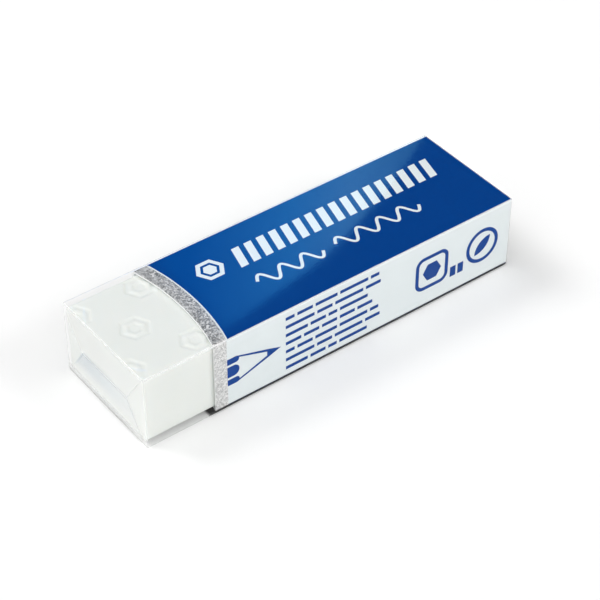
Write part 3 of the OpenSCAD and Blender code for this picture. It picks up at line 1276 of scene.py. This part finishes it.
@dataclass(frozen=True)
class MattFloor(Finish):
    """Matt white paint, which the camera sees a little brighter than it lights the pack.

    Beside the pack it is dimmed in the film's own mirror. In front of the bare end it isn't, so that
    the end face stays bright.
    """

    film: FilmMirror = FilmMirror()
    level: float = 0.9
    lift: float = 0.14

    def surface(self, tree: Tree, place: Socket) -> Socket:
        """Adds the paint.

        Args:
            tree: The material's nodes.
            place: Position on the object in metres.

        Returns:
            The floor's shader.
        """
        rays = add_node(tree, "LightPath")
        lifted = {0: self.seen(tree, rays), 1: self.lift, 2: self.level}
        bright = add_node(tree, "Math", lifted, operation="MULTIPLY_ADD")[0]
        along = add_node(tree, "SeparateXYZ", {0: place})["X"]
        front = Box.of("film_wrap").low.x
        beside = add_node(tree, "Math", {0: along, 1: front}, operation="GREATER_THAN")[0]
        dimmed = add_node(tree, "Math", {0: rays["Is Glossy Ray"], 1: beside}, operation="MULTIPLY")[0]
        return add_node(tree, "BsdfDiffuse", {"Color": self.film.dim(tree, bright, dimmed)})[0]


@dataclass(frozen=True)
class GlowingCard(Finish):
    """A card that glows in the colours of the sheen and that only the film itself mirrors.

    Its colours are placed by pixels of the image, so that they fall where the photograph has them.
    """

    view: View
    reach: float
    film: FilmMirror = FilmMirror()
    start_pixels: tuple[Point, Point] = ((182.0, 304.0), (196.0, 290.0))
    colour_row: float = 240.0
    colour_columns: tuple[float, ...] = (190.0, 290.0, 352.0, 405.0)
    colours: tuple[Tone, ...] = (Tone.SHEEN_START, Tone.SHEEN_RISE, Tone.SHEEN_PEAK, Tone.SHEEN_END)
    strength: float = 2.9

    def between(self, tree: Tree, place: Socket, start: Point, end: Point) -> Socket:
        """Adds a value that goes from 0 to 1 between what two pixels mirror.

        Args:
            tree: The material's nodes.
            place: Position on the object in metres.
            start: The pixel where it is 0.
            end: The pixel where it is 1.

        Returns:
            The value.
        """
        low, high = (self.view.mirrored(*pixel, self.reach) for pixel in (start, end))
        way = (high - low) / (high - low).length_squared
        along = add_node(tree, "VectorMath", {0: place, 1: tuple(way)}, operation="DOT_PRODUCT")["Value"]
        return add_node(tree, "Math", {0: along, 1: low.dot(way)}, operation="SUBTRACT", use_clamp=True)[0]

    def surface(self, tree: Tree, place: Socket) -> Socket:
        """Adds the light, which starts past the silver band.

        Args:
            tree: The material's nodes.
            place: Position on the object in metres.

        Returns:
            The card's shader.
        """
        first, last = self.colour_columns[0], self.colour_columns[-1]
        share = self.between(tree, place, (first, self.colour_row), (last, self.colour_row))
        colour = add_node(tree, "ValToRGB", {0: share})[0]
        stops = colour.node.color_ramp.elements
        for column in self.colour_columns[1:-1]:
            stops.new((column - first) / (last - first))
        for stop, tone in zip(stops, self.colours):
            stop.color = hex_to_linear(tone)
        started = {0: self.between(tree, place, *self.start_pixels), 1: self.strength}
        power = add_node(tree, "Math", started, operation="MULTIPLY")[0]
        level = add_node(tree, "Math", {0: power, 1: self.film.own(tree)}, operation="MULTIPLY")[0]
        return add_node(tree, "Emission", {"Color": colour, "Strength": level})[0]


def stage_face(name: str, corners: list[Vector], finish: Finish) -> bpy.types.Object:
    """Adds one flat face of the studio, which isn't part of the pack.

    Args:
        name: Name of the object.
        corners: Its corners in order.
        finish: Its finish.

    Returns:
        The new object.
    """
    data = bpy.data.meshes.new(name)
    data.from_pydata(corners, [], [range(len(corners))])
    data.materials.append(finish.material())
    made = bpy.data.objects.new(name, data)
    bpy.context.scene.collection.objects.link(made)
    return made


@dataclass(frozen=True)
class Sheen:
    """A round card, whose mirror image lies on the blue field up to a curved edge.

    Its centre and radius are pixels of the image. The card itself is worked out from them, and hangs
    behind the pack.
    """

    view: View
    centre_pixel: Point = (-13.8, -123.5)
    radius_pixels: float = 509.0
    reach: float = 1.0
    corners: int = 128

    def build(self) -> None:
        """Hangs the card."""
        x, y = self.centre_pixel
        radius = self.radius_pixels
        turns = (2 * math.pi * i / self.corners for i in range(self.corners))
        pixels = ((x + radius * math.cos(turn), y + radius * math.sin(turn)) for turn in turns)
        rim = [self.view.mirrored(*pixel, self.reach) for pixel in pixels]
        card = stage_face("sheen_card", rim, GlowingCard("glowing_card", self.view, self.reach))
        card.visible_camera = card.visible_diffuse = card.visible_shadow = False


@dataclass(frozen=True)
class Studio:
    """A white floor and soft light that comes mostly from the camera's side.

    The room is brightest toward the camera, and a low band of it is bright all round. The crossings
    are how many faces of film the light may pass.
    """

    view: View = View()
    film: FilmMirror = FilmMirror()
    floor_size: float = 1.0
    floor_drop: float = 0.02 * MM
    dome_rise: float = 0.35
    dome_facing: Span = (-0.25, 0.55)
    dome_level: Span = (0.01, 0.95)
    cove_height: Span = (0.1, 0.4)
    cove_level: Span = (0.85, 0.0)
    crossings: int = 32
    lamps: tuple[Softbox, ...] = (
        Softbox("key", (-0.25, 0.45, 0.54), 0.35, 2.2),
        Softbox("rim", (0.32, -0.455, 0.424), 0.2, 0.9),
    )

    def floor(self) -> None:
        """Lays the floor just under the pack."""
        half, level = self.floor_size / 2, -self.floor_drop
        sides = ((-half, -half), (half, -half), (half, half), (-half, half))
        stage_face("floor", [Vector((x, y, level)) for x, y in sides], MattFloor("matt_white_floor"))

    def world(self) -> None:
        """Lights the room from the camera's side and from a low band all round, and shows it white."""
        made = bpy.data.worlds.new("studio")
        bpy.context.scene.world = made
        made.use_nodes = True
        tree = made.node_tree
        tree.nodes.clear()
        back = self.view.axes()[2]
        toward = Vector((back.x, back.y, self.dome_rise)).normalized()
        ray = add_node(tree, "TexCoord")["Generated"]
        facing = add_node(tree, "VectorMath", {0: ray, 1: tuple(toward)}, operation="DOT_PRODUCT")["Value"]
        height = add_node(tree, "SeparateXYZ", {0: ray})["Z"]
        parts = (
            (facing, self.dome_facing, self.dome_level),
            (height, self.cove_height, self.cove_level),
        )
        lights = {}
        for i, (value, (start, stop), (low, high)) in enumerate(parts):
            span = {"Value": value, "From Min": start, "From Max": stop, "To Min": low, "To Max": high}
            lights[i] = add_node(tree, "MapRange", span, interpolation_type="SMOOTHSTEP")[0]
        light = add_node(tree, "Math", lights, operation="MAXIMUM")[0]
        rays = add_node(tree, "LightPath")
        dimmed = self.film.dim(tree, light, rays["Is Glossy Ray"])
        level = add_node(tree, "Math", {0: dimmed, 1: rays["Is Camera Ray"]}, operation="MAXIMUM")[0]
        sky = add_node(tree, "Background", {"Color": hex_to_linear(Tone.WHITE), "Strength": level})[0]
        add_node(tree, "OutputWorld", {"Surface": sky})

    def build(self) -> None:
        """Builds the camera, the floor, the room, the lamps and the card of the sheen."""
        self.view.build()
        self.floor()
        self.world()
        for lamp in self.lamps:
            lamp.build()
        Sheen(self.view).build()
        scene = bpy.context.scene
        scene.view_settings.view_transform = "Standard"
        scene.cycles.transparent_max_bounces = self.crossings


def main() -> None:
    """Builds the pack and its studio."""
    logging.basicConfig(level=logging.INFO, format="%(name)s: %(message)s")
    EraserBlock(MouldedVinyl("moulded_pvc_vinyl")).build()
    PrintedSleeve({
        "card_sleeve": CoatedCard("clay_coated_boxboard"),
        "silver_band": SilverInk("screened_silver_ink"),
        "blue_field_top": OffsetInk("offset_blue_ink", Tone.BLUE, Tone.BLUE_SHADE),
        "blue_field_base": OffsetInk("offset_blue_ink_base", Tone.BLUE, Tone.BLUE_SHADE),
        "blue_figures_side": OffsetInk("offset_blue_ink_side", Tone.SIDE_BLUE, Tone.SIDE_BLUE_SHADE),
    }).dress()
    FilmWrap(CastFilm("cast_polypropylene_film")).build()
    Studio().build()


if __name__ == "__main__":
    main()
